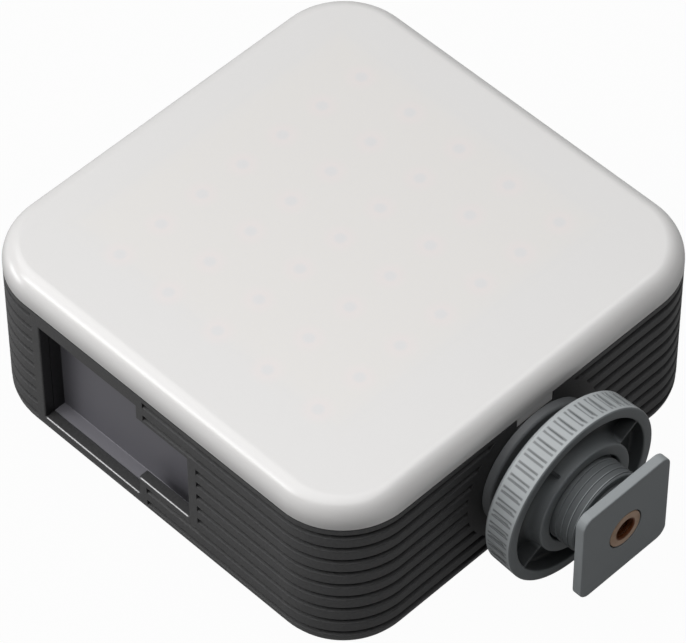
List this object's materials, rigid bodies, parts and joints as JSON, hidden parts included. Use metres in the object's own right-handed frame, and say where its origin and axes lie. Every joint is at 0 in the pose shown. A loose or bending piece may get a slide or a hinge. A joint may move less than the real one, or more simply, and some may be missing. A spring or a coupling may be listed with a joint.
{
  "type": "rgb led video light",
  "caption": "Square pocket LED video light: opal diffuser on a ribbed black housing with a stepped side bay and a shoe mount with a knurled lock wheel.",
  "frame": {"origin": "centre of the housing's flat back face", "axes": "+Z out through the diffuser, +Y away from the shoe mount, -X towards the side with the stepped bay"},
  "size_m": [0.0814, 0.0988, 0.0348],
  "materials": {
    "housing_black": "fine grained matte",
    "diffuser_white": "satin opal",
    "bay_grey": "smooth satin",
    "mount_grey": "smooth satin",
    "wheel_grey": "smooth satin",
    "flange_dark": "smooth satin",
    "ring_rubber": "matte",
    "brass": "darkened",
    "steel": "plain",
    "dark_screw": "blackened",
    "port_steel": "plain",
    "board_white": "solder mask",
    "frame_white": "matte",
    "spreader": "milled",
    "tray_black": "matte",
    "cell_wrap": "shrink wrap",
    "board_green": "solder mask",
    "control_grey": "smooth satin",
    "part_black": "matte"
  },
  "bodies": {
    "light": {"housing": "housing_black", "diffuser": "diffuser_white", "reflector_frame": "frame_white", "led_board": "board_white", "heat_spreader": "spreader", "battery_tray": "tray_black", "battery": "cell_wrap", "control_board": "board_green", "case_screw_1": "dark_screw", "case_screw_2": "dark_screw", "case_screw_3": "dark_screw", "case_screw_4": "dark_screw", "board_screw_1": "steel", "board_screw_2": "steel", "board_screw_3": "steel", "board_screw_4": "steel", "bay_tray": "bay_grey", "usb_port": "port_steel", "power_switch": "part_black", "mode_switch": "part_black", "dial_encoder": "part_black", "thread_insert": "brass", "mount_stud": "steel", "mount_flange": "flange_dark", "threaded_post": "mount_grey", "shoe_foot": "mount_grey", "brass_insert": "brass"},
    "drag_ring": {"drag_ring": "ring_rubber"},
    "lock_wheel": {"lock_wheel": "wheel_grey"},
    "power_button": {"power_button": "control_grey"},
    "mode_button": {"mode_button": "control_grey"},
    "adjust_dial": {"adjust_dial": "control_grey"}
  },
  "joints": [
    {"name": "wheel_advance", "type": "slide", "parent": "light", "child": "drag_ring", "axis": [0, -1, 0], "range_m": [-0.00224, 0.0056]},
    {"name": "wheel_turn", "type": "hinge", "parent": "drag_ring", "child": "lock_wheel", "pos_m": [0, -0.0471, 0.0177], "axis": [0, -1, 0], "range_deg": [-577, 1441]},
    {"name": "power_press", "type": "slide", "parent": "light", "child": "power_button", "axis": [-1, 0, 0], "range_m": [0, 0.0006], "stiffness_N_per_m": 800},
    {"name": "mode_press", "type": "slide", "parent": "light", "child": "mode_button", "axis": [-1, 0, 0], "range_m": [0, 0.0006], "stiffness_N_per_m": 800},
    {"name": "dial_turn", "type": "hinge", "parent": "light", "child": "adjust_dial", "pos_m": [0.0349, 0.00564, 0.0146], "axis": [0, 0, 1], "continuous": true}
  ],
  "couplings": [
    {"joint": "wheel_turn", "follows": "wheel_advance", "rad_per_m": 4488}
  ]
}
